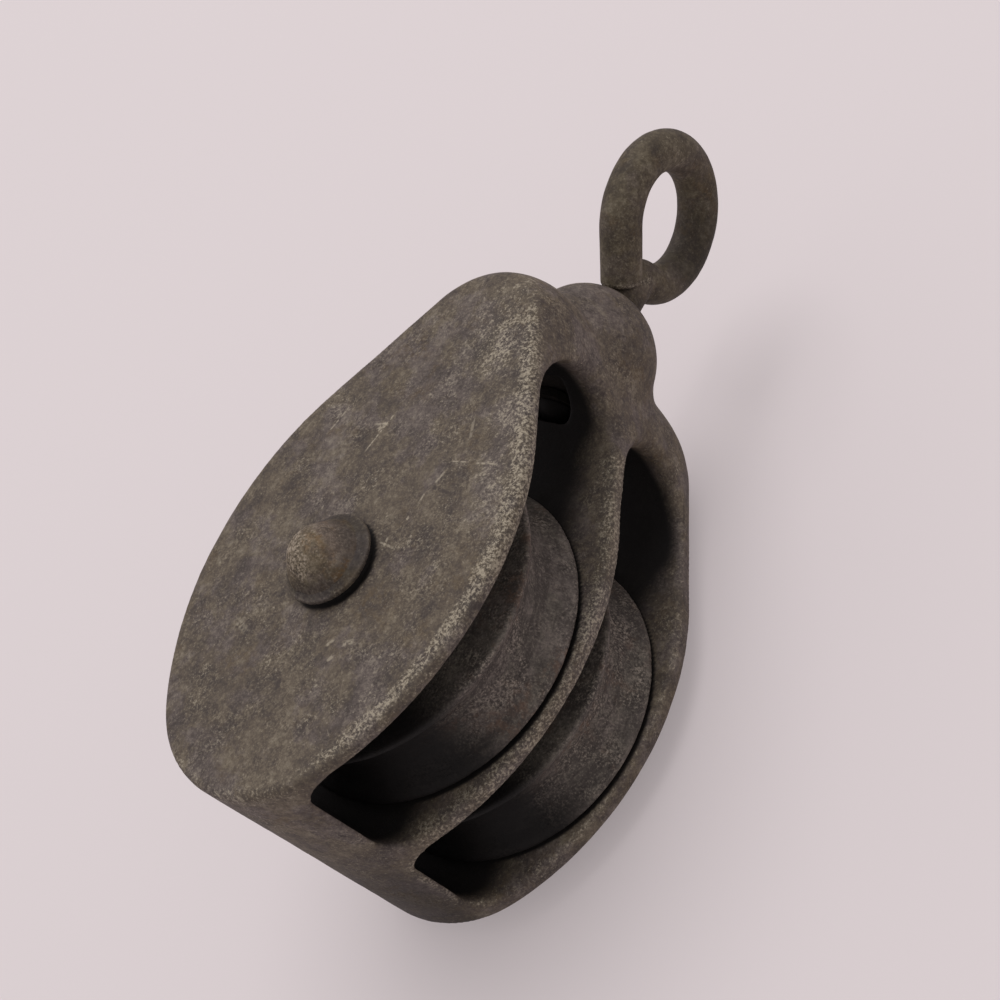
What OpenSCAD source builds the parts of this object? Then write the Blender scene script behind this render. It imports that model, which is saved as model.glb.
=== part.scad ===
// Double-sheave swivel-eye block for rope. It lies on its lower cheek:
// +Z is the axle's direction, +Y runs along the shank to the eye and +X is
// the side where the rope enters. The origin is under the middle of the block.

/* [Shell] */
// Width of a cheek across its widest point
cheek_w = 64.4; // [60:0.2:70]
// Thickness of each cheek
cheek_t = 4.4; // [3.6:0.1:6]
// Thickness of the middle wall between the two slots
middle_t = 3.4; // [2.6:0.1:5]
// Width of each slot, from the middle wall to a cheek
slot_w = 23.7; // [22:0.1:26]
// Radius of the curved sides of a cheek
side_r = 58; // [55:1:68]
// How far above the axle a cheek is widest
widest_y = 2.8; // [1:0.1:4]
// From the axle down to the foot of the shell
foot_y = 42.3; // [41:0.1:44]
// Thickness of the web that closes the shell's foot
web_t = 6.4; // [5:0.1:7]
// From the axle up to the top of the cheeks' noses
nose_y = 60.4; // [59:0.1:63]
// Lean of the straight flanks below the nose, from the centre line
taper = 29.7; // [28:0.1:32]
// Round along the outer edge of each cheek
edge_r = 2.4; // [1.2:0.1:3]
// From the axle up to the top of each slot's arch
arch_y = 51; // [49.5:0.1:53]
// Round in the lower corners of each slot
floor_r = 5; // [2:0.1:7]
// Height of the raised seat under each rivet washer
seat_h = 1.2; // [0.6:0.1:2]

/* [Crown] */
// Radius of the round crown that carries the eye
crown_r = 14.3; // [13.6:0.1:15.5]
// From the axle up to the centre of the crown's ball
crown_y = 61; // [60:0.1:61.5]
// Radius of the waist that eases the crown's ball into the shoulders
waist_r = 11.9; // [11:0.1:13.4]
// How far the shoulders rise above the noses
shoulder_rise = 4.5; // [3:0.1:5.5]
// Half the length over which the shoulders keep their full height
shoulder_half = 14; // [11:0.5:17]
// Width of the window under the crown, where the shank is riveted
window_w = 13.8; // [13.4:0.1:16]
// Height of that window
window_h = 5.8; // [5.4:0.1:8]
// Round in that window's lower corners
window_r = 2.6; // [1:0.1:3]
// From the axle up to the roof of that window
roof_y = 52; // [50:0.1:53.5]

/* [Sheaves] */
// Diameter of a sheave over its lips
sheave_d = 63; // [58:0.5:66]
// Width of a sheave at its rim
rim_w = 17.1; // [15:0.1:19]
// How far the hub stands out past the rim on each side
hub_proud = 0.6; // [0.3:0.1:1]
// Diameter of the hub
hub_d = 23; // [20:0.5:28]
// Thickness of the plate between the hub and the rim
plate_t = 8; // [6:0.5:12]
// Thickness of the rim under the rope groove
rim_t = 4.4; // [3:0.1:6]
// Depth of the rope groove
groove_depth = 4.2; // [3:0.1:5]
// Width of each lip beside the groove
lip_w = 1.6; // [1:0.1:2.4]
// Bevel on the outer edge of each lip
lip_bevel = 0.7; // [0.3:0.1:1]
// Gap between a hub and the wall that it has slid down to
hub_gap = 0.3; // [0.2:0.05:0.6]

/* [Axle] */
// Diameter of the axle pin
pin_d = 9.5; // [8:0.1:11]
// Radial running clearance between the pin and a bush
pin_clear = 0.06; // [0.03:0.01:0.09]
// Radial clearance of the pin in the walls of the shell
wall_clear = 0.1; // [0.05:0.01:0.2]
// Wall of the bush that is pressed into each sheave
bush_wall = 2.6; // [1.6:0.1:3.5]
// Diameter of the rivet washers
washer_d = 17; // [16:0.1:20]
// Thickness of the rivet washers
washer_t = 2.2; // [1.6:0.1:3]
// Diameter of the formed rivet head on the upper cheek
head_d = 12.8; // [12:0.1:14]
// Height of that head
head_h = 5.2; // [4:0.1:5.8]
// Diameter of the hammered end on the lower cheek
tail_d = 12.8; // [12:0.1:14]
// Height of the hammered end
tail_h = 3.4; // [2.4:0.1:4.5]

/* [Swivel eye] */
// Diameter of the rod that the eye is bent from
rod_d = 8; // [7.4:0.1:8.8]
// Radius of the eye, to the middle of the rod
eye_r = 13; // [12:0.1:15]
// From the axle up to the centre of the eye
eye_y = 94.8; // [94:0.1:98]
// Diameter of the rod round the eye, drawn down a little in the bending
loop_d = 7.8; // [7.4:0.1:7.9]
// How far the neck bends over from the shank into the eye
neck_a = 66; // [62:1:70]
// Slack added to the rod's radius for the bend at the neck
neck_slack = 1; // [0.6:0.1:2]
// Where the loop runs out straight, below the level of the eye's centre
leg_angle = 49; // [42:1:54]
// Length of that straight, to the rod's cut end
leg_l = 10.6; // [8:0.1:11]
// Bevel round the cut end of the rod
cut_bevel = 0.9; // [0.4:0.1:1.5]
// How far the eye is turned about its shank
eye_turn = 5.3; // [-90:0.1:90]
// Radial running clearance of the shank in the crown
shank_clear = 0.08; // [0.03:0.01:0.09]
// Gap above the washer under the crown
thrust_gap = 0.3; // [0.2:0.05:0.5]
// Diameter of the washer under the crown
collar_d = 12.6; // [12:0.1:13]
// Thickness of that washer
collar_t = 1.6; // [1.2:0.1:2]
// Diameter of the shank's hammered end
peen_d = 11; // [10:0.1:12]
// Height of the shank's hammered end
peen_h = 3.2; // [2.4:0.1:3.6]

/* [Hidden] */
$fn = 96;

// Slack for cuts that run past a face
over = 1;
// How far the drawn-down loop starts inside the neck, in degrees
lap_a = 3;
shell_t = 2 * (cheek_t + slot_w) + middle_t;
half_t = shell_t / 2;
half_w = cheek_w / 2;
slot_mid = (middle_t + slot_w) / 2;

// The outline is three arcs a side, each tangent to the next
side_c = [half_w - side_r, widest_y];
side_drop = widest_y + foot_y;
foot_r = (side_r * side_r - side_c.x * side_c.x - side_drop * side_drop) / (2 * (side_r - side_drop));
foot_c = [0, foot_r - foot_y];
foot_a = atan2(foot_c.y - side_c.y, foot_c.x - side_c.x);
flank_n = [cos(taper), sin(taper)];
flank_top = side_c + side_r * flank_n;
nose_r = (flank_n * flank_top - flank_n.y * nose_y) / (1 - flank_n.y);
nose_c = [0, nose_y - nose_r];

pin_r = pin_d / 2;
rod_r = rod_d / 2;
loop_r = loop_d / 2;
sheave_r = sheave_d / 2;
hub_w = rim_w + 2 * hub_proud;
bush_r = pin_r + pin_clear + bush_wall;
seat_top = half_t + seat_h;
washer_top = seat_top + washer_t;
upper_hub_z = middle_t / 2 + hub_gap;
lower_hub_z = -half_t + cheek_t + hub_gap;
groove_half = rim_w / 2 - lip_w;
groove_r = (groove_half * groove_half + groove_depth * groove_depth) / (2 * groove_depth);

// The neck's bend touches both the shank's line and the eye's circle, so the
// eye's centre stands a little off that line
neck_r = rod_r + neck_slack;
eye_off = (eye_r + neck_r) * cos(neck_a) - neck_r;
neck_y = eye_y - (eye_r + neck_r) * sin(neck_a);
collar_y = roof_y - thrust_gap - collar_t;

// The origin is under the middle of the block, level with its lowest rivet
middle_y = (eye_y + eye_r + loop_r - foot_y) / 2;
base_z = washer_top + tail_h;
axle_at = [0, -middle_y, base_z];

function arc(c, r, from, to, n) =
    [for (i = [0:n]) let (a = from + (to - from) * i / n) c + r * [cos(a), sin(a)]];

// Right half of a cheek's outline, drawn inwards by d, from the foot up
function half_outline(d) = concat(
    arc(foot_c, foot_r - d, -90, foot_a, 8),
    [for (p = arc(side_c, side_r - d, foot_a, taper, 12)) if (p.y > foot_c.y + (foot_r - d) * sin(foot_a)) p],
    arc(nose_c, nose_r - d, taper, 90, 8));

module cheek_outline(d = 0) {
    half = half_outline(d);
    n = len(half);
    polygon(concat(half, [for (i = [n - 2:-1:1]) [-half[i].x, half[i].y]]));
}

module layer(z, d) {
    translate([0, 0, z]) linear_extrude(0.01, center = true) cheek_outline(d);
}

// Solid block of the cheeks' outline, its two outer edges rounded
module envelope() {
    hull() for (side = [-1, 1], a = [0, 30, 60, 90])
        layer(side * (half_t - 0.005 - edge_r * (1 - sin(a))), edge_r * (1 - cos(a)));
}

// Outline of a slot seen from the rope side: round arch above, round corners below
module slot_profile() {
    floor_y = web_t - foot_y;
    half = slot_w / 2;
    translate([0, arch_y - half]) circle(r = half);
    translate([-half, floor_y + floor_r]) square([slot_w, arch_y - half - floor_y - floor_r]);
    translate([floor_r - half, floor_y]) square([slot_w - 2 * floor_r, floor_r + over]);
    for (side = [-1, 1])
        translate([side * (half - floor_r), floor_y + floor_r]) circle(r = floor_r);
}

// Cuts along X, drawn in the plane of Z (across) and Y (up)
module through_x(length) {
    rotate([0, -90, 0]) linear_extrude(length, center = true) children();
}

module slots() {
    for (side = [-1, 1]) translate([0, 0, side * slot_mid])
        through_x(cheek_w + 2 * over) slot_profile();
}

// Slice of the shoulders, which rise from each nose as a quarter of an ellipse
module shoulder(side, a) {
    run = half_t - edge_r - shoulder_half;
    translate([0, nose_c.y + shoulder_rise * cos(a), side * (shoulder_half + run * sin(a))])
        cylinder(r = nose_r - 0.2, h = 0.2, center = true, $fn = 64);
}

// Ball of the crown on its neck, the shoulders on which it stands, and the waist between
module crown() {
    translate([0, crown_y, 0]) sphere(r = crown_r);
    translate([0, roof_y, 0]) rotate([-90, 0, 0]) cylinder(r = crown_r * 0.93, h = crown_y - roof_y);
    hull() for (side = [-1, 1], a = [0:15:90]) shoulder(side, a);
    hull() {
        translate([0, crown_y, 0]) sphere(r = waist_r, $fn = 48);
        for (side = [-1, 1]) shoulder(side, 15);
    }
}

// Window through the middle wall, where the shank's end is hammered over
module window() {
    for (side = [-1, 1]) translate([side * (window_w / 2 - window_r), roof_y - window_h + window_r, 0])
        cylinder(r = window_r, h = slot_w, center = true);
    translate([window_r - window_w / 2, roof_y - window_h, -slot_w / 2])
        cube([window_w - 2 * window_r, window_h, slot_w]);
    translate([-window_w / 2, roof_y - window_h + window_r, -slot_w / 2])
        cube([window_w, window_h - window_r, slot_w]);
}

module shell() color([0.37, 0.33, 0.31]) translate(axle_at) difference() {
    union() {
        envelope();
        crown();
        cylinder(d = washer_d - 4, h = 2 * seat_top, center = true);
    }
    slots();
    window();
    cylinder(r = pin_r + wall_clear, h = 2 * (seat_top + over), center = true);
    rotate([-90, 0, 0]) cylinder(r = rod_r + shank_clear, h = crown_y + crown_r + over);
}

// Cast sheave: hub, plate, and a rim with a round rope groove
module sheave(hub_z) {
    plate = plate_t / 2;
    rim = rim_w / 2;
    under_rim = sheave_r - groove_depth - rim_t;
    half = [[bush_r, hub_w / 2], [hub_d / 2 - 0.6, hub_w / 2], [hub_d / 2, hub_w / 2 - 0.6],
        [hub_d / 2 + 1, plate + 0.8], [hub_d / 2 + 2, plate], [under_rim - 1.6, plate],
        [under_rim - 0.6, plate + 0.8], [under_rim, rim], [sheave_r - lip_bevel, rim],
        [sheave_r, rim - lip_bevel]];
    translate([0, 0, hub_z + hub_w / 2]) rotate_extrude() difference() {
        polygon(concat(half, [for (i = [len(half) - 1:-1:0]) [half[i].x, -half[i].y]]));
        translate([sheave_r - groove_depth + groove_r, 0]) circle(r = groove_r);
    }
}

module sheave_upper() color([0.34, 0.31, 0.29]) translate(axle_at) sheave(upper_hub_z);
module sheave_lower() color([0.34, 0.31, 0.29]) translate(axle_at) sheave(lower_hub_z);

module bush(hub_z) {
    translate([0, 0, hub_z]) difference() {
        cylinder(r = bush_r, h = hub_w);
        translate([0, 0, -over]) cylinder(r = pin_r + pin_clear, h = hub_w + 2 * over);
    }
}

module bush_upper() color([0.55, 0.42, 0.22]) translate(axle_at) bush(upper_hub_z);
module bush_lower() color([0.55, 0.42, 0.22]) translate(axle_at) bush(lower_hub_z);

// Flat round washer with its hole
module flat_washer(d, hole_r, t) {
    difference() {
        cylinder(d = d, h = t);
        translate([0, 0, -over]) cylinder(r = hole_r, h = t + 2 * over);
    }
}

module washer_upper() color([0.33, 0.30, 0.28]) translate(axle_at)
    translate([0, 0, seat_top]) flat_washer(washer_d, pin_r + wall_clear, washer_t);
module washer_lower() color([0.33, 0.30, 0.28]) translate(axle_at)
    translate([0, 0, -washer_top]) flat_washer(washer_d, pin_r + wall_clear, washer_t);

// Dome with a flat foot, as a rivet head has
module dome(d, h) {
    ball_r = (d * d / 4 + h * h) / (2 * h);
    rotate_extrude() intersection() {
        translate([0, h - ball_r]) circle(r = ball_r);
        square([d, h]);
    }
}

module axle_pin() color([0.38, 0.31, 0.24]) translate(axle_at) {
    cylinder(r = pin_r, h = 2 * washer_top, center = true);
    translate([0, 0, washer_top]) dome(head_d, head_h);
    translate([0, 0, -washer_top]) mirror([0, 0, 1]) dome(tail_d, tail_h);
}

// Round rod bent into an eye: shank, tight neck bend, loop, bevelled cut end
module swivel_eye() color([0.34, 0.30, 0.26]) translate(axle_at) rotate([0, eye_turn - 90, 0]) {
    translate([0, collar_y, 0]) rotate([-90, 0, 0]) cylinder(r = rod_r, h = neck_y - collar_y);
    translate([-neck_r, neck_y, 0]) rotate_extrude(angle = neck_a) translate([neck_r, 0]) circle(r = rod_r);
    translate([eye_off, eye_y, 0]) rotate([0, 0, -leg_angle]) {
        rotate_extrude(angle = 180 + neck_a + lap_a + leg_angle)
            translate([eye_r, 0]) circle(r = loop_r);
        translate([eye_r, 0, 0]) rotate([90, 0, 0]) cylinder(r = loop_r, h = leg_l - cut_bevel);
        translate([eye_r, cut_bevel - leg_l, 0]) rotate([90, 0, 0])
            cylinder(r1 = loop_r, r2 = loop_r - cut_bevel, h = cut_bevel);
    }
    translate([0, collar_y, 0]) rotate([90, 0, 0]) dome(peen_d, peen_h);
}

module swivel_washer() color([0.33, 0.30, 0.28]) translate(axle_at) translate([0, collar_y, 0])
    rotate([-90, 0, 0]) flat_washer(collar_d, rod_r, collar_t);

shell();
axle_pin();
washer_upper();
washer_lower();
sheave_upper();
sheave_lower();
bush_upper();
bush_lower();
swivel_eye();
swivel_washer();
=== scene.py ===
import math

import bpy
import numpy as np
from mathutils import Matrix


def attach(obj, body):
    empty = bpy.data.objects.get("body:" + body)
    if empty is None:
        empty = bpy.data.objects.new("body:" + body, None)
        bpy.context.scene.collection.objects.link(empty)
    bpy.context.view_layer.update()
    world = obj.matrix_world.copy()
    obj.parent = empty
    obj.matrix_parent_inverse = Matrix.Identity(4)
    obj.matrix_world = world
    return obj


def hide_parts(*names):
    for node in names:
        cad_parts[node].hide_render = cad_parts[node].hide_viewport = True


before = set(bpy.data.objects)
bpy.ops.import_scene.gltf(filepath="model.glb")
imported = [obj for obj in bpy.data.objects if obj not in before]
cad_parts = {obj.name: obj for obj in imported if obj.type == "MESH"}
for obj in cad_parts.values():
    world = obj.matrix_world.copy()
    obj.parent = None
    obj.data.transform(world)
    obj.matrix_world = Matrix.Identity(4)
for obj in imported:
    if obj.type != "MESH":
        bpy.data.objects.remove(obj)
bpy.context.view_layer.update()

# Shell
# One iron casting: two cheeks, a middle wall, a web across the foot and a round crown
# for the eye. Sand casting left every corner soft, and rope, deck and hands have rubbed
# the edges bright. Each surface is worked out in millimetres from the middle of the axle.
MM = 0.001
AXLE = (0.0, -34.7, 36.6)


class Mould:
    """A block of points at an even pitch, in which a piece is drawn as distances."""

    def __init__(self, low, high, pitch):
        self.low, self.pitch = np.array(low, float), pitch
        counts = np.ceil((np.array(high) - self.low) / pitch).astype(int) + 1
        axes = [low[i] + pitch * np.arange(counts[i]) for i in range(3)]
        self.x = axes[0][:, None, None]
        self.y = axes[1][None, :, None]
        self.z = axes[2][None, None, :]
        self.counts = counts

    def lumps(self, size, seed):
        """Smooth uneven ground from -1 to 1, its bumps about one size across."""
        rng = np.random.default_rng(seed)
        spans = self.pitch * (self.counts - 1) / size
        field = rng.uniform(-1, 1, [int(s) + 3 for s in spans])
        for axis, span in enumerate(spans):
            at = np.linspace(0, span, self.counts[axis])
            cell = at.astype(int)
            blend = at - cell
            blend = (blend * blend * (3 - 2 * blend)).reshape([-1 if i == axis else 1 for i in range(3)])
            field = np.take(field, cell, axis) * (1 - blend) + np.take(field, cell + 1, axis) * blend
        return field


def join(a, b, fillet):
    """Two solids as one, with a round fillet where they meet."""
    return np.maximum(fillet, np.minimum(a, b)) - np.hypot(
        np.maximum(fillet - a, 0), np.maximum(fillet - b, 0))


def both(a, b, round_over):
    """What two solids share, its edges rounded over."""
    return -join(-a, -b, round_over)


def cut(a, b, round_over):
    """One solid less another, its new edges rounded over."""
    return -join(-a, b, round_over)


def arc(centre, radius, start, end, steps):
    """Points along an arc, its angles in degrees."""
    turn = np.radians(np.linspace(start, end, steps + 1))
    return [(centre[0] + radius * math.cos(t), centre[1] + radius * math.sin(t)) for t in turn]


def line_distance(x, y, points):
    """Distance from a chain of straight lines in a plane."""
    near = np.full(np.broadcast(x, y).shape, np.inf)
    for (ax, ay), (bx, by) in zip(points[:-1], points[1:]):
        run_x, run_y = bx - ax, by - ay
        along = ((x - ax) * run_x + (y - ay) * run_y) / (run_x ** 2 + run_y ** 2)
        along = np.clip(along, 0, 1)
        near = np.minimum(near, np.hypot(x - ax - along * run_x, y - ay - along * run_y))
    return near


def outline_distance(x, y, points):
    """Distance from a closed outline, negative inside it."""
    inside = np.zeros(np.broadcast(x, y).shape, bool)
    ring = points + points[:1]
    for (ax, ay), (bx, by) in zip(ring[:-1], ring[1:]):
        if ay != by:
            inside ^= ((ay > y) != (by > y)) & (x < (bx - ax) * (y - ay) / (by - ay) + ax)
    return np.where(inside, -1, 1) * line_distance(x, y, ring)


def softened(field, width):
    """The field averaged over a cube some cells wide."""
    reach = width // 2
    for axis in range(3):
        pad = [(reach + 1, reach) if i == axis else (0, 0) for i in range(3)]
        total = np.cumsum(np.pad(field, pad, mode="edge"), axis)
        count = field.shape[axis]
        field = (np.take(total, range(width, width + count), axis)
                 - np.take(total, range(count), axis)) / width
    return field


def reading(field, at):
    """The field's value at points given in cells."""
    at = np.clip(at, 0, np.array(field.shape) - 1.001)
    base = at.astype(int)
    part = at - base
    total = 0
    for corner in np.ndindex(2, 2, 2):
        share = np.prod([part[:, i] if corner[i] else 1 - part[:, i] for i in range(3)], axis=0)
        total = total + share * field[tuple(base[:, i] + corner[i] for i in range(3))]
    return total


def skin(field):
    """Points and four-sided faces of the surface where the field is zero, in cells. One face
    goes round each grid line that crosses it, and the points are then drawn onto it."""
    places, cells, flips = [], [], []
    for axis in range(3):
        low = np.take(field, range(field.shape[axis] - 1), axis)
        high = np.take(field, range(1, field.shape[axis]), axis)
        edge = np.argwhere((low < 0) != (high < 0))
        edge = edge[np.all([edge[:, i] > 0 for i in range(3)], axis=0)]
        first = low[tuple(edge.T)]
        crossing = edge.astype(float)
        crossing[:, axis] += first / (first - high[tuple(edge.T)])
        left, up = (axis + 1) % 3, (axis + 2) % 3
        around = []
        for back_left, back_up in ((0, 0), (1, 0), (1, 1), (0, 1)):
            cell = edge.copy()
            cell[:, left] -= back_left
            cell[:, up] -= back_up
            around.append(np.ravel_multi_index(tuple(cell.T), field.shape))
        cells.append(np.stack(around, 1))
        places.append(np.repeat(crossing[:, None], 4, 1))
        flips.append(first > 0)
    cells = np.concatenate(cells)
    used, quads = np.unique(cells.ravel(), return_inverse=True)
    places = np.concatenate(places).reshape(-1, 3)
    share = np.bincount(quads)
    points = np.stack([np.bincount(quads, places[:, i]) / share for i in range(3)], 1)
    quads = quads.reshape(-1, 4)
    flips = np.concatenate(flips)
    quads[flips] = quads[flips][:, ::-1]
    for _ in range(2):
        value = reading(field, points)
        slope = np.stack([reading(field, points + step) - reading(field, points - step)
                          for step in 0.5 * np.eye(3)], 1)
        points -= slope * (value / np.maximum((slope ** 2).sum(1), 0.05))[:, None]
    return points, quads


def cast(name, mould, field, finish, body, nodes, turn=None, rub=None, grease_and_shade=None, edge=1.2):
    """Makes a piece from its drawing and fits it. Each point is marked with how much it is
    rubbed bright and how much it is blackened, by old greasy dirt and by painted shade: first by
    its own edges and hollows, the hollows getting painted shade, and then by where it lies on the piece."""
    points, quads = skin(field)
    places = mould.low + mould.pitch * points
    mesh = bpy.data.meshes.new(name)
    mesh.vertices.add(len(points))
    mesh.loops.add(quads.size)
    mesh.polygons.add(len(quads))
    mesh.loops.foreach_set("vertex_index", quads.ravel())
    mesh.polygons.foreach_set("loop_start", np.arange(0, quads.size, 4))
    width = 2 * max(int(edge / mould.pitch), 1) + 1
    bulge = (reading(softened(field, width), points) - reading(field, points)) / (width * mould.pitch)
    # Convex edges are marked as rubbed; hollows are marked for painted shade.
    for label, mark, placed in (("rub", 5.0 * bulge, rub), ("grease_and_shade", -6.0 * bulge, grease_and_shade)):
        if placed is not None:
            mark = placed(mark, *places.T)
        mesh.attributes.new(label, "FLOAT", "POINT").data.foreach_set(
            "value", np.clip(mark, 0, 1).astype(np.float32))
    if turn is not None:
        places = places @ np.array(turn).T
    mesh.vertices.foreach_set("co", ((places + AXLE) * MM).ravel())
    mesh.update(calc_edges=True)
    mesh.validate()
    mesh.shade_smooth()
    mesh.materials.append(finish)
    piece = bpy.data.objects.new(name, mesh)
    bpy.context.scene.collection.objects.link(piece)
    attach(piece, body)
    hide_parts(*nodes)
    return piece


def ease(value, low, high):
    """0 below low, 1 above high and smooth between them."""
    t = np.clip((value - low) / (high - low), 0, 1)
    return t * t * (3 - 2 * t)


class Wire:
    """A socket of a material. Sums and products of wires add the nodes for them."""

    def __init__(self, tree, socket=None):
        self.tree, self.socket = tree, socket

    def node(self, kind, settings=None, inputs=None, output=0):
        made = self.tree.nodes.new(kind)
        for key, value in (settings or {}).items():
            setattr(made, key, value)
        for key, value in (inputs or {}).items():
            if isinstance(value, Wire):
                self.tree.links.new(value.socket, made.inputs[key])
            else:
                made.inputs[key].default_value = value
        return Wire(self.tree, made.outputs[output])

    def maths(self, operation, first, second):
        return self.node("ShaderNodeMath", {"operation": operation}, {0: first, 1: second})

    def __add__(self, other):
        return self.maths("ADD", self, other)

    def __sub__(self, other):
        return self.maths("SUBTRACT", self, other)

    def __rsub__(self, other):
        return self.maths("SUBTRACT", other, self)

    def __mul__(self, other):
        return self.maths("MULTIPLY", self, other)

    __radd__, __rmul__ = __add__, __mul__

    def between(self, low, high):
        """0 below low, 1 above high and smooth between them."""
        return self.node("ShaderNodeMapRange", {"interpolation_type": "SMOOTHSTEP"},
                         {"Value": self, "From Min": low, "From Max": high})

    def tint(self, amount, colour):
        """This colour, changed to another by an amount."""
        return self.node("ShaderNodeMix", {"data_type": "RGBA"},
                         {0: amount, 6: self, 7: colour}, 2)


def iron(name, violet, olive, pale, rust, rust_amount=0.5, speckle=0.35, grit=0.4, grain=0.1,
         streaks=0.0, scratches=(), dark_marks=()):
    """Weathered iron: a skin that drifts between a violet and an olive grey, loose pale
    crumbs and dark pits, thin rust, near black where the pieces mark old greasy dirt and painted
    shade, and a crust of bright crumbs where it is rubbed. Patterns are set out in millimetres."""
    material = bpy.data.materials.new(name)
    material.use_nodes = True
    tree = material.node_tree
    shader = tree.nodes["Principled BSDF"]
    wire = Wire(tree)
    place = wire.node("ShaderNodeVectorMath", {"operation": "SCALE"}, {
        0: wire.node("ShaderNodeTexCoord", output=3), "Scale": 1 / MM})

    def noise(size, detail=3.0, rough=0.55, shift=0.0):
        return wire.node("ShaderNodeTexNoise", {"noise_dimensions": "4D"}, {
            "Vector": place, "W": shift, "Scale": 1 / size, "Detail": detail, "Roughness": rough})

    rub = wire.node("ShaderNodeAttribute", {"attribute_name": "rub"}, output=2)
    grease_and_shade = wire.node("ShaderNodeAttribute", {"attribute_name": "grease_and_shade"}, output=2)
    mottle = noise(5, 5, 0.68, 2)
    fine = noise(1.1, 4, 0.7, 3)
    grains = noise(0.42, 2, 0.65, 6)
    crumbs = noise(0.5, 3, 0.75, 7)
    patch = noise(6, 4, 0.65, 8)

    colour = wire.node("ShaderNodeMix", {"data_type": "RGBA"}, {
        0: noise(9, 4, 0.65, 1).between(0.42, 0.54), 6: violet, 7: olive}, 2)
    shade = (0.5 * mottle + 0.35 * fine + 0.15 * grains).between(0.37, 0.57)
    dark = tuple(0.46 * c for c in violet[:3]) + (1,)
    if streaks:
        around = wire.node("ShaderNodeVectorMath", {"operation": "MULTIPLY"}, {
            0: place, 1: (0.1, 0.1, 1.0)})
        run = wire.node("ShaderNodeTexNoise", inputs={
            "Vector": around, "Scale": 0.5, "Detail": 5.0, "Roughness": 0.65})
        colour = colour.tint((1 - run).between(0.45, 0.6) * streaks, dark)
    colour = wire.node("ShaderNodeMix", {"data_type": "RGBA"}, {0: shade, 6: dark, 7: colour}, 2)
    light = (0.5 * mottle + 0.5 * fine).between(0.5, 0.7)
    colour = colour.tint(light * 0.42, pale)
    ochre = noise(8, 4, 0.6, 4).between(0.48, 0.7) * noise(1.4, 3, 0.7, 5).between(0.4, 0.62)
    colour = colour.tint(ochre * rust_amount, rust)
    sandy = grit * (0.4 + patch.between(0.42, 0.6))
    colour = colour.tint(grains.between(0.5, 0.7) * sandy, pale)
    colour = colour.tint((1 - grains).between(0.5, 0.66) * sandy, tuple(0.5 * c for c in dark[:3]) + (1,))
    worn = (rub + 1.8 * (mottle - 0.5)).between(0.2, 0.9) * rub.between(0, 0.3)
    thick = wire.maths("MAXIMUM", worn, patch.between(0.5, 0.68) * speckle)
    pits = (1 - crumbs).between(0.53, 0.62) * (0.35 + 0.65 * thick)
    colour = colour.tint(worn * 0.08, pale)
    colour = colour.tint(pits * 0.75, tuple(0.35 * c for c in violet[:3]) + (1,))
    bare = (crumbs + 0.1 * thick + 0.15 * (fine - 0.5)).between(0.59, 0.68) * (0.5 + 0.5 * thick)
    if scratches:
        bare = wire.maths("MAXIMUM", bare, rub_marks(wire, place, scratches))
    colour = colour.tint(bare * 0.85, pale)
    if dark_marks:
        colour = colour.tint(rub_marks(wire, place, dark_marks), dark)
    # The marked old greasy dirt and painted shade turn the colour near black.
    black = (grease_and_shade + 0.25 * (mottle - 0.5)).between(0.02, 0.9)
    colour = colour.tint(black * 0.97, (0.004, 0.0035, 0.0035, 1))
    tree.links.new(colour.socket, shader.inputs["Base Color"])
    rough = 0.68 - 0.08 * bare + 0.1 * ochre
    tree.links.new(rough.socket, shader.inputs["Roughness"])
    tree.links.new((0.1 + 0.15 * bare).socket, shader.inputs["Metallic"])
    shader.inputs["Specular IOR Level"].default_value = 0.2
    height = 0.5 * mottle + 0.3 * fine + 0.1 * grains + 0.5 * thick * crumbs - 0.4 * pits
    bump = wire.node("ShaderNodeBump", inputs={
        "Strength": 1.0, "Distance": grain * MM, "Height": height})
    tree.links.new(bump.socket, shader.inputs["Normal"])
    return material


def rub_marks(wire, place, marks):
    """Broken scratches and dark marks on the upper cheek. Each has its two ends, in millimetres from the
    axle, its width and how strong it is."""
    broken = wire.node("ShaderNodeTexNoise", inputs={
        "Vector": place, "Scale": 1.3, "Detail": 3.0}).between(0.38, 0.52)
    total = 0.0
    for (ax, ay), (bx, by), width, strength in marks:
        middle = ((ax + bx) / 2 + AXLE[0], (ay + by) / 2 + AXLE[1], 0)
        moved = wire.node("ShaderNodeMapping", {"vector_type": "TEXTURE"}, {
            "Vector": place, "Location": middle, "Rotation": (0, 0, math.atan2(by - ay, bx - ax))})
        along, across, height = (
            wire.node("ShaderNodeSeparateXYZ", inputs={0: moved}, output=i) for i in range(3))
        length = math.hypot(bx - ax, by - ay)
        mark = (1 - wire.maths("ABSOLUTE", along, 0.0).between(length * 0.3, length * 0.5)) * (
            1 - wire.maths("ABSOLUTE", across, 0.0).between(width * 0.4, width))
        total = strength * mark + total
    return total * broken * height.between(AXLE[2] + 28, AXLE[2] + 29)


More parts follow.
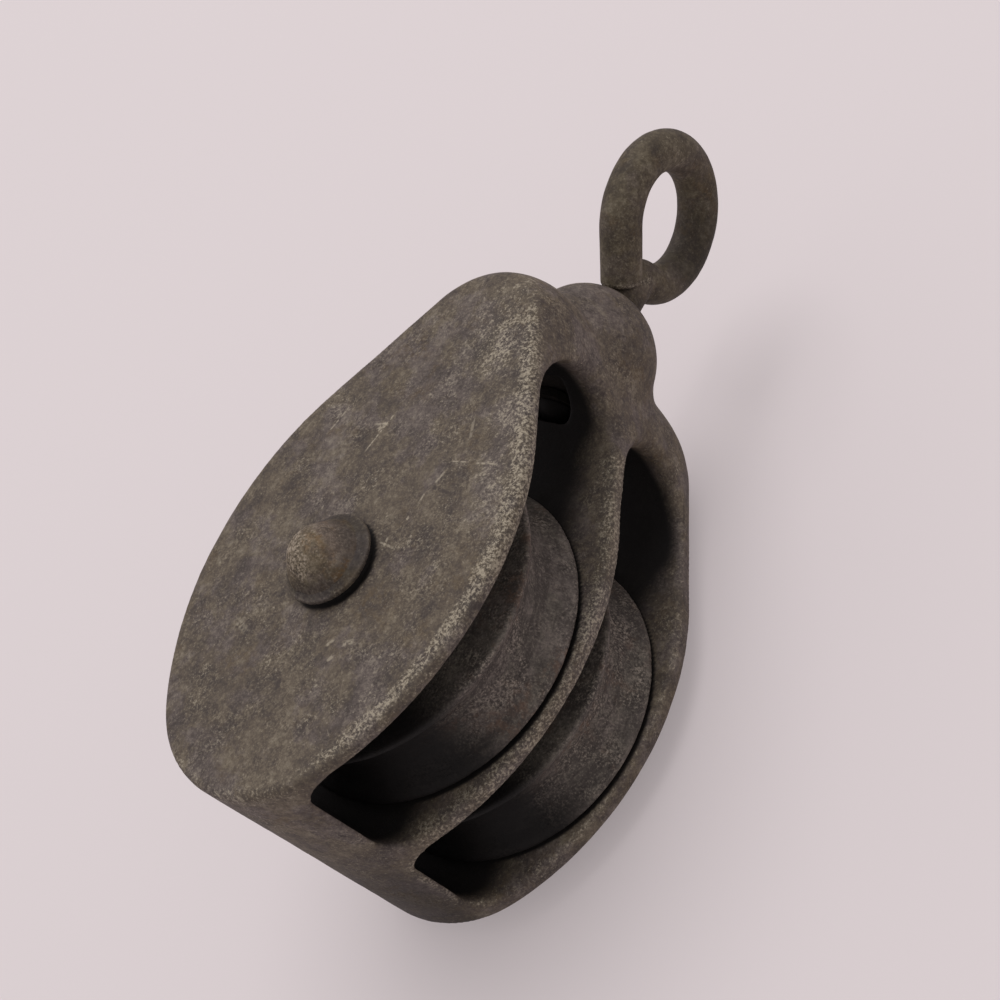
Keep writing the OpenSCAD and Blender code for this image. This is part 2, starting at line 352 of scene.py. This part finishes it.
CHEEK_IRON = iron(
    "cheek_iron", violet=(0.122, 0.097, 0.088, 1), olive=(0.119, 0.093, 0.069, 1),
    pale=(0.33, 0.285, 0.22, 1), rust=(0.12, 0.082, 0.044, 1), rust_amount=0.4, speckle=0.5, grit=0.2,
    scratches=[
        ((-19.6, 22.1), (-17.7, 29.7), 0.22, 0.8), ((-8.1, 20.4), (-6.0, 30.2), 0.24, 1.0),
        ((-8.2, 25.0), (-6.8, 27.3), 0.6, 0.9), ((-9.7, 26.4), (-6.0, 27.0), 0.4, 0.7),
        ((12.1, 22.7), (16.4, 23.3), 0.2, 0.9), ((17.4, 23.3), (21.9, 24.0), 0.24, 1.0),
        ((11.5, 18.1), (12.3, 20.8), 0.3, 0.9), ((10.5, 13.4), (10.6, 16.3), 0.26, 0.8),
        ((9.9, 10.7), (10.1, 11.6), 0.35, 1.0), ((5.8, 6.0), (11.1, 5.4), 0.25, 0.7),
        ((8.1, 7.3), (8.4, 4.4), 0.3, 0.8), ((13.9, 26.8), (11.7, 31.8), 0.4, 0.5),
        ((11.0, -12.4), (13.5, -11.1), 0.7, 0.8), ((8.1, -13.5), (9.2, -11.9), 0.4, 0.8),
        ((10.2, -15.9), (10.9, -14.2), 0.5, 0.8), ((-15.3, -14.4), (-10.7, -15.9), 0.9, 0.35),
        ((-12.6, -13.7), (-14.1, -16.4), 0.9, 0.35), ((-10.6, 10.2), (-10.0, 8.5), 0.3, 0.6)],
    # The dark marks are painted shade only: no dent is shaped in the cheek.
    dark_marks=[((10.9, 17.6), (16.0, 17.0), 0.5, 0.9), ((-7.5, 13.9), (-5.4, 13.1), 0.8, 0.7)])

half_wide, widest_y, side_r, foot_y, nose_y, taper = 32.2, 2.8, 58.0, 42.3, 60.4, 29.7
half_thick, cheek_thick, slot_mid, slot_half = 29.8, 4.4, 13.55, 11.85
arch_y, floor_y, floor_r, outer_round = 51.0, -35.9, 5.0, 1.5
mouth_round, far_soften, arch_soften, edge_thinning = 0.8, 0.7, 3.2, 1.5
crown_y, crown_flat, crown_tall, crown_long, crown_off = 61.0, 12.8, 14.8, 15.3, 1.2
shoulder_rise, shoulder_half = 4.6, 14.0
window_half, window_high, window_r, roof_y = 6.9, 5.8, 2.6, 52.0
seat_r, seat_top, pin_hole_r, shank_hole_r = 7.2, 31.0, 4.85, 4.08

side_at = (half_wide - side_r, widest_y)
side_drop = widest_y + foot_y
foot_r = (side_r ** 2 - side_at[0] ** 2 - side_drop ** 2) / (2 * (side_r - side_drop))
foot_at = (0.0, foot_r - foot_y)
foot_turn = math.degrees(math.atan2(foot_at[1] - side_at[1], foot_at[0] - side_at[0]))
lean = (math.cos(math.radians(taper)), math.sin(math.radians(taper)))
flank = side_at[0] * lean[0] + side_at[1] * lean[1] + side_r
nose_r = (flank - lean[1] * nose_y) / (1 - lean[1])
nose_at = (0.0, nose_y - nose_r)
half = (arc(foot_at, foot_r, -90, foot_turn, 24) + arc(side_at, side_r, foot_turn, taper, 40)[1:]
        + arc(nose_at, nose_r, taper, 90, 24))
outline = half + [(-x, y) for x, y in reversed(half[1:-1])]

mould = Mould((-34, -44, -33), (34, 77, 33), 0.6)
x, y, z = mould.x, mould.y, mould.z
cheek = outline_distance(x[:, :, 0], y[:, :, 0], outline)
swell = shoulder_rise * (1 - np.clip(
    (np.abs(z[0]) - shoulder_half) / (half_thick - shoulder_half), 0, 1) ** 3)
at = np.clip((y[0] - swell * ease(y[0], 30, 56) - mould.low[1]) / mould.pitch, 0, len(y[0]) - 1.001)
base = at.astype(int)
cheek = cheek[:, base] * (1 - at + base) + cheek[:, base + 1] * (at - base)
shell = both(cheek, np.abs(z) - half_thick, outer_round)

across = np.hypot(x, z)
long = z - crown_off
oval = np.sqrt((x / crown_flat) ** 2 + ((y - crown_y) / crown_tall) ** 2 + (long / crown_long) ** 2)
slope = np.sqrt((x / crown_flat ** 2) ** 2 + ((y - crown_y) / crown_tall ** 2) ** 2
                + (long / crown_long ** 2) ** 2)
shell = join(shell, oval * (oval - 1) / np.maximum(slope, 1e-3), 2.5)
seat = np.maximum(np.hypot(x, y) - seat_r, np.abs(z) - seat_top)
shell = join(shell, seat, 0.5)

thinned = edge_thinning * (1 - ease(-cheek, 0.5, 6)) * ease(z, slot_mid, slot_mid + 6)
side = np.abs(np.abs(z) - slot_mid) - thinned
arch = np.hypot(side, y - arch_y + slot_half) - slot_half
corner_x, corner_y = side - slot_half + floor_r, floor_y + floor_r - y
trough = np.hypot(np.maximum(corner_x, 0), np.maximum(corner_y, 0)) - floor_r + np.minimum(
    np.maximum(corner_x, corner_y), 0)
slot = np.where(y > arch_y - slot_half, arch, trough)
near_wall = 1 - ease(z, slot_mid + 1, slot_mid + 8) - 0.5 * ease(-z, slot_mid + 1, slot_mid + 8)
mouth = mouth_round + far_soften * ease(-z, 16, 22) + arch_soften * near_wall * ease(y, 38, 50)
shell = cut(shell, slot, mouth)
corner_x, corner_y = np.abs(x) - window_half + window_r, roof_y - window_high + window_r - y
window = np.hypot(np.maximum(corner_x, 0), np.maximum(corner_y, 0)) - window_r + np.minimum(
    np.maximum(corner_x, corner_y), 0)
shell = cut(shell, np.maximum(np.maximum(window, y - roof_y), np.abs(z) - slot_half), 0.5)
shell = shell + 0.05 * (1 + mould.lumps(7, 11)) + 0.03 * (1 + mould.lumps(2.2, 12))
shell = cut(shell, np.hypot(x, y) + 0 * z - pin_hole_r, 0)
shell = cut(shell, np.maximum(across - shank_hole_r, roof_y - y), 0)


def rubbed(mark, x, y, z):
    """The upper cheek is scoured along the rope's side, over its nose and a little along its
    foot, and the middle wall along its edge."""
    inside = -outline_distance(x, y, outline)
    face = ease(z, half_thick - 4.2, half_thick - 2)
    band = (1 - ease(inside, 1.8, 4.8)) * (0.5 + 0.5 * ease(inside + ease(y, -12, 8), 0.5, 1.6))
    band = band * ease(x, 4, 14) * ease(y, -40, -26)
    foot = 0.5 * (1 - ease(inside, 1.2, 3.0)) * (1 - ease(y, -38, -32))
    nose = np.exp(-((x - 8) ** 2 / 130 + (y - 48) ** 2 / 130))
    loose = 0.52 * (1 - ease(inside, 4, 16)) * ease(x, 0, 8) * ease(y, 0, 22)
    wall = (1 - ease(np.abs(z), 1.8, 2.4)) * (1 - ease(inside, 1.6, 4.5)) * ease(x, 0, 8)
    crest = ease(mark, 0.1, 0.6) * np.where(x > 0, 0.3 + 0.4 * (z < 0), 0.2)
    face = face * np.maximum(np.maximum(band, 0.8 * nose), np.maximum(foot, loose))
    return np.maximum(np.maximum(face, crest), 0.7 * wall * (1 - ease(y, 40, 50)) * ease(y, -38, -30))


def greased_and_shaded(mark, x, y, z):
    """Mostly painted shade, with some old greasy dirt: the slots are darkened inside, blackest
    deep in them, beside the sheaves and up behind the arches and the window. The foot's web is
    darkened, a painted shadow rings the cheek under the rivet washer, and hollows get painted shade."""
    depth = -outline_distance(x, y, outline)
    between = 1 - ease(np.abs(z), half_thick - cheek_thick, half_thick - cheek_thick + 0.8)
    shut = 1 - ease(y, arch_y, arch_y + 3)
    wall = 1 - ease(np.abs(z), 5, 8)
    near = np.where(np.abs(y - 5) > 30, 0.3 - wall * (y < 0), 1.5)
    near = near - 1.5 * ease(-z, 18, 22) * ease(y, 20, 30)
    far = 16 - (12 - 8 * wall) * ease(y, 22, 40) - 12 * (1 - ease(y, -36, -20))
    far = far - 7.5 * wall * ease(y, 41, 48)
    # Painted shade in the narrow gap beside each sheave's rim.
    beside = 1 - ease(np.hypot(x, y), 30.9, 31.6)
    # A painted shadow on the cheek under the rivet washer's overhanging edge.
    ring = (1 - ease(np.hypot(x, y), 8.2, 8.8)) * (z > half_thick - 0.5)
    # Painted shade on the middle wall around the window under the crown.
    behind = wall * (1 - ease(np.abs(x), 8.5, 12)) * ease(y, 34, 40)
    # Painted shade on the foot's web, darkest towards the far cheek.
    web = 0.5 * (1 - ease(y, -39, -34)) * (1 - ease(z, -20, 26))
    # Painted shade with some old greasy dirt: inside the slots the colour darkens with depth from the
    # edge.
    slots = between * shut * np.maximum(ease(depth, near, far), np.maximum(beside, behind))
    return np.maximum(np.maximum(0.5 * mark, slots), np.maximum(ring, web))


cast("shell_casting", mould, shell, CHEEK_IRON, "shell", ["shell"],
     rub=rubbed, grease_and_shade=greased_and_shaded)

# Axle pin
# A bar of wrought iron through both cheeks and both sheaves. Each end was hammered hot
# into a head over its washer, and the upper one has spread out thin over it.
PIN_IRON = iron(
    "pin_iron", violet=(0.126, 0.096, 0.078, 1), olive=(0.115, 0.088, 0.056, 1),
    pale=(0.34, 0.28, 0.22, 1), rust=(0.17, 0.095, 0.04, 1), rust_amount=0.8, speckle=0.5, grit=0.25)

pin_r, washer_top, dish_r, skirt_r, skirt_slope = 4.75, 33.2, 5.9, 7.2, 0.42
head_wide, head_high, head_off = 12.0, 4.9, (-0.7, -0.4)
tail_wide, tail_high = 12.8, 3.4
mould = Mould((-7.5, -7.5, -38), (7.5, 7.5, 40), 0.35)
x, y, z = mould.x, mould.y, mould.z
around = np.hypot(x, y) + 0 * z


def rivet(up, wide, high, off=(0.0, 0.0)):
    """A hammered head that stands where up is 0: a dome that may be off centre."""
    ball_r = (wide ** 2 / 4 + high ** 2) / (2 * high)
    beside = np.hypot(x - off[0], y - off[1])
    return both(np.hypot(beside, up - high + ball_r) - ball_r, -up, 0.3)


bar = np.maximum(around - pin_r, np.abs(z) - washer_top - 0.4)
over_washer = z - washer_top + skirt_slope * np.maximum(around - dish_r, 0)
skirt = np.maximum(over_washer + 0.15 * np.clip(around - 4.5, 0, 3), -over_washer - 0.6)
skirt = np.maximum(skirt, around - skirt_r)
upper = join(rivet(z - washer_top, head_wide, head_high, head_off), skirt, 2.4)
pin = join(bar, join(upper, rivet(-z - washer_top, tail_wide, tail_high), 0), 0)
head = np.clip(np.abs(z) - washer_top, 0, 1)
pin = pin + head * (0.14 * (1 + mould.lumps(3.0, 21)) + 0.05 * (1 + mould.lumps(1.2, 22)))


def knocked_and_lit(mark, x, y, z):
    """The top of the upper head is pale on the side away from the rope, partly scuffed and partly a
    painted highlight.
    """
    return np.maximum(0.3 * mark, 0.9 * ease(z, 33.6, 35.5) * ease(-0.84 * x - 0.54 * y, -2.0, 3.0))


def painted_skirt_shade(mark, x, y, z):
    """Its skirt is darker on the side of the rope, and in its hollows: painted shade."""
    return np.maximum(0.4 * mark, 0.42 * (1 - ease(z, 33.6, 35.2)) * ease(x, -6, 0))


cast("axle_rivet", mould, pin, PIN_IRON, "shell", ["axle_pin"], rub=knocked_and_lit,
     grease_and_shade=painted_skirt_shade)

# Rivet washers
# Two thin round washers, one under each head of the pin, on the cheeks' raised seats.
# Punched from plate, and dished by the hammering until their rims are thin.
washer_r, washer_thick, washer_rim = 8.5, 2.2, 0.9
for name, side in (("upper", 1), ("lower", -1)):
    middle = side * (seat_top + washer_thick / 2)
    mould = Mould((-10, -10, middle - 2.2), (10, 10, middle + 2.2), 0.25)
    x, y, z = mould.x, mould.y, mould.z
    around, up = np.hypot(x, y) + 0 * z, side * z - seat_top
    thinner = (washer_thick - washer_rim) * np.clip((around - dish_r) / (washer_r - dish_r), 0, 1)
    dished = up - washer_thick + thinner
    disc = both(np.maximum(around - washer_r, -up), 0.92 * dished, 0.15)
    disc = disc + 0.05 * (1 + mould.lumps(4, 31)) + 0.03 * (1 + mould.lumps(1.2, 32))
    disc = cut(disc, around - pin_hole_r, 0)
    # The washers are darkened all over, and their hollows further as painted shade.
    cast("rivet_washer_" + name, mould, disc, CHEEK_IRON, "shell", ["washer_" + name],
         rub=lambda mark, x, y, z: 0.2 * mark,
         grease_and_shade=lambda mark, x, y, z: 0.52 + 0.3 * mark, edge=0.5)

# Sheaves
# Two cast iron wheels side by side on the pin: a hub, a plain plate and a rim with a round
# groove for the rope. The rope has polished the grooves, and the rims are grained by rust.
SHEAVE_IRON = iron(
    "sheave_iron", violet=(0.124, 0.102, 0.092, 1), olive=(0.108, 0.093, 0.079, 1),
    pale=(0.29, 0.245, 0.205, 1), rust=(0.14, 0.085, 0.06, 1), rust_amount=0.7, speckle=0.9, grit=0.5,
    grain=0.14, streaks=0.9)

sheave_r, rim_half, hub_half, hub_r, plate_half = 31.5, 8.55, 9.15, 11.5, 4.0
rim_thick, groove_deep, lip_wide, bush_r = 4.4, 4.2, 1.6, 7.41
groove_half = rim_half - lip_wide
groove_r = (groove_half ** 2 + groove_deep ** 2) / (2 * groove_deep)
for name, middle, seed in (("upper", 11.15, 41), ("lower", -15.95, 45)):
    mould = Mould((-33, -33, middle - 10.5), (33, 33, middle + 10.5), 0.5)
    x, y, z = mould.x, mould.y, mould.z - middle
    around = np.hypot(x, y) + 0 * z
    under_rim = sheave_r - groove_deep - rim_thick
    rim = both(np.maximum(around - sheave_r, under_rim - around), np.abs(z) - rim_half, 0.6)
    hub = both(around - hub_r, np.abs(z) - hub_half, 0.6)
    plate = np.maximum(around - under_rim - 1, np.abs(z) - plate_half)
    wheel = join(join(rim, plate, 1.6), hub, 1.6)
    wheel = cut(wheel, np.hypot(around - sheave_r + groove_deep - groove_r, z) - groove_r, 1.1)
    wheel = wheel + 0.06 * (1 + mould.lumps(6, seed)) + 0.04 * (1 + mould.lumps(1.8, seed + 1))
    wheel = cut(wheel, around - bush_r, 0)
    # The lower half of each wheel is darkened as painted shade, and so are its hollows.
    cast("sheave_wheel_" + name, mould, wheel, SHEAVE_IRON, name + "_sheave",
         ["sheave_" + name], rub=lambda mark, x, y, z: 0.25 * mark,
         grease_and_shade=lambda mark, x, y, z: np.maximum(0.5 * mark, 0.95 * ease(-y, 4, 22)))

# Bushes
# A bronze bush is pressed into each sheave and runs on the pin. They keep their exact
# shape from the model, with a dull tarnished face.
BRONZE = iron(
    "bush_bronze", violet=(0.22, 0.14, 0.06, 1), olive=(0.26, 0.18, 0.08, 1),
    pale=(0.5, 0.36, 0.17, 1), rust=(0.06, 0.07, 0.04, 1), speckle=0.1, grain=0.04)
for name in ("bush_upper", "bush_lower"):
    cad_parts[name].data.materials.clear()
    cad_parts[name].data.materials.append(BRONZE)

# Swivel eye
# One round iron rod, bent cold round a bar into a loop, with a tight bend at the neck and
# its sawn end left beside it. The shank turns in the crown and is hammered over below.
ROD_IRON = iron(
    "rod_iron", violet=(0.094, 0.073, 0.058, 1), olive=(0.095, 0.075, 0.050, 1),
    pale=(0.28, 0.24, 0.185, 1), rust=(0.12, 0.08, 0.04, 1), speckle=0.3, grit=0.15)

rod_r, loop_at, loop_r, neck_r, thicker, eye_turn = 3.95, (2.321, 94.6), 12.9, 2.0, 0.2, 5.3
leg_turn, leg_long, sawn_bevel = 49.0, 10.6, 0.9
collar_y, peen_r, peen_high = 50.1, 5.5, 3.2
neck_bend = math.degrees(math.acos((loop_at[0] + neck_r) / (loop_r + neck_r)))
neck_y = loop_at[1] - (loop_r + neck_r) * math.sin(math.radians(neck_bend))
bend = arc((-neck_r, neck_y), neck_r, 0, neck_bend, 12)
loop = arc(loop_at, loop_r, 180 + neck_bend, -leg_turn, 72)
leg_dir = (-math.sin(math.radians(leg_turn)), -math.cos(math.radians(leg_turn)))

mould = Mould((-17, 44, -8), (21, 114, 8), 0.4)
x, y, z = mould.x, mould.y, mould.z
course = line_distance(x[:, :, 0], y[:, :, 0], [(0, collar_y)] + bend + loop[1:])[:, :, None]
rod = np.maximum(np.hypot(course, z) - rod_r, collar_y - y)
from_x, from_y = x - loop[-1][0], y - loop[-1][1]
along = from_x * leg_dir[0] + from_y * leg_dir[1]
beside = from_x * leg_dir[1] - from_y * leg_dir[0]
leg = both(np.maximum(np.hypot(beside, z) - rod_r, -along), along - leg_long, sawn_bevel)
rod = join(rod, leg, 0)
ball_r = (peen_r ** 2 + peen_high ** 2) / (2 * peen_high)
peen = np.sqrt(x ** 2 + z ** 2 + (y - collar_y + peen_high - ball_r) ** 2) - ball_r
rod = join(rod, both(peen, y - collar_y, 0.3), 0)
above = ease(y, 76, 84)
rod = rod + above * (0.05 * (1 + mould.lumps(6, 51)) + 0.03 * (1 + mould.lumps(1.6, 52)) - thicker)


def worn_and_lit(mark, x, y, z):
    """The top of the loop is pale on its upper face, partly worn where hooks have hung and partly a
    painted highlight, and the lip of the sawn end is pale too.
    """
    out = (x - loop[-1][0]) * leg_dir[0] + (y - loop[-1][1]) * leg_dir[1]
    lip = ease(out, leg_long - 1.6, leg_long - 0.8) * (1 - ease(out, leg_long - 0.3, leg_long - 0.1))
    lip = lip * (np.abs((x - loop[-1][0]) * leg_dir[1] - (y - loop[-1][1]) * leg_dir[0]) < rod_r + 0.5)
    return np.maximum(np.maximum(0.3 * mark, 0.8 * lip), 0.3 * ease(y, 95, 104) * ease(x, -4, 6))


def painted_rod_shade(mark, x, y, z):
    """The shank is black below the crown, the top of the loop darker on its lower face, and hollows
    darker: painted shade, with some old greasy dirt on the shank.
    """
    hidden = 1 - ease(y, 54, 58)
    far_side = 0.45 * (1 - ease(x, -9, 4)) * ease(y, 84, 90)
    return np.maximum(np.maximum(0.4 * mark, hidden), far_side)


turn = Matrix.Rotation(math.radians(eye_turn - 90), 3, "Y")
cast("eye_rod", mould, rod, ROD_IRON, "eye", ["swivel_eye"], turn=turn,
     rub=worn_and_lit, grease_and_shade=painted_rod_shade)

# Swivel washer
# A plain washer between the crown and the hammered end of the shank. It keeps its exact
# shape from the model, and is near black: old greasy dirt and painted shade.
GREASED_SHADED_IRON = iron(
    "greased_shaded_iron", violet=(0.014, 0.012, 0.011, 1), olive=(0.016, 0.013, 0.009, 1),
    pale=(0.03, 0.025, 0.02, 1), rust=(0.02, 0.013, 0.007, 1), speckle=0.2)
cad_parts["swivel_washer"].data.materials.clear()
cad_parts["swivel_washer"].data.materials.append(GREASED_SHADED_IRON)

# Table, light and camera
# The block lies on its cheek on pale pinkish cloth, under one broad soft light from above
# and a little light from all round. Far off, the cloth and the room are the same plain tone.
CLOTH_PINK = (0.71, 0.635, 0.65, 1)
CLOTH_GLOW, ROOM_LIGHT, TABLE_SIZE = 0.36, 0.6, 20.0
cloth = bpy.data.materials.new("pale_cloth")
cloth.use_nodes = True
tree = cloth.node_tree
wire = Wire(tree)
shader = tree.nodes["Principled BSDF"]
shader.inputs["Base Color"].default_value = CLOTH_PINK
shader.inputs["Roughness"].default_value = 0.9
shader.inputs["Specular IOR Level"].default_value = 0.1
glow = wire.node("ShaderNodeEmission", inputs={"Color": CLOTH_PINK, "Strength": 1.0})


def seen(wire):
    """1 on the rays that show a thing to the eye, and 0 on those that only light others."""
    return sum(wire.node("ShaderNodeLightPath", output="Is " + ray + " Ray")
               for ray in ("Camera", "Glossy", "Transmission"))


away = wire.node("ShaderNodeVectorMath", {"operation": "LENGTH"}, {
    0: wire.node("ShaderNodeTexCoord", output=3)}, 1)
far = away.between(0.6, 2.5)
lit = wire.node("ShaderNodeMixShader", inputs={
    0: seen(wire) * (CLOTH_GLOW + (1 - CLOTH_GLOW) * far), 1: Wire(tree, shader.outputs[0]), 2: glow})
tree.links.new(lit.socket, tree.nodes["Material Output"].inputs["Surface"])
bpy.ops.mesh.primitive_plane_add(size=TABLE_SIZE, location=(0, 0, 0))
table = bpy.context.object
table.name = "table"
table.data.materials.append(cloth)

world = bpy.data.worlds.new("room")
bpy.context.scene.world = world
world.use_nodes = True
wire = Wire(world.node_tree)
sky = world.node_tree.nodes["Background"]
sky.inputs["Color"].default_value = (1.0, 0.99, 0.98, 1)
sky.inputs["Strength"].default_value = ROOM_LIGHT
backdrop = wire.node("ShaderNodeBackground", inputs={"Color": CLOTH_PINK, "Strength": 1.0})
lit = wire.node("ShaderNodeMixShader", inputs={
    0: seen(wire), 1: Wire(world.node_tree, sky.outputs[0]), 2: backdrop})
world.node_tree.links.new(lit.socket, world.node_tree.nodes["World Output"].inputs["Surface"])

key = bpy.data.lights.new("window_light", "AREA")
key.shape = "DISK"
key.size, key.energy, light_far = 2.4, 45.0, 3.0
lamp = bpy.data.objects.new("window_light", key)
bpy.context.scene.collection.objects.link(lamp)
to_light = np.array((-0.15, 0.35, 0.92))
lamp.location = light_far * to_light / np.linalg.norm(to_light)
lamp.rotation_euler = lamp.location.to_track_quat("Z", "Y").to_euler()

lens = bpy.data.cameras.new("camera")
lens.sensor_width = 36.0
lens.lens = 56.54
lens.clip_start = 0.01
camera = bpy.data.objects.new("camera", lens)
bpy.context.scene.collection.objects.link(camera)
right, down = (0.7147, 0.4659, -0.5217), (0.1728, -0.8403, -0.5138)
ahead, eye_point = (-0.6777, 0.2771, -0.6811), (0.19413, -0.08515, 0.2347)
camera.matrix_world = Matrix.Translation(eye_point) @ Matrix(
    [[right[i], -down[i], -ahead[i]] for i in range(3)]).to_4x4()
bpy.context.scene.camera = camera
bpy.context.scene.view_settings.view_transform = "Standard"
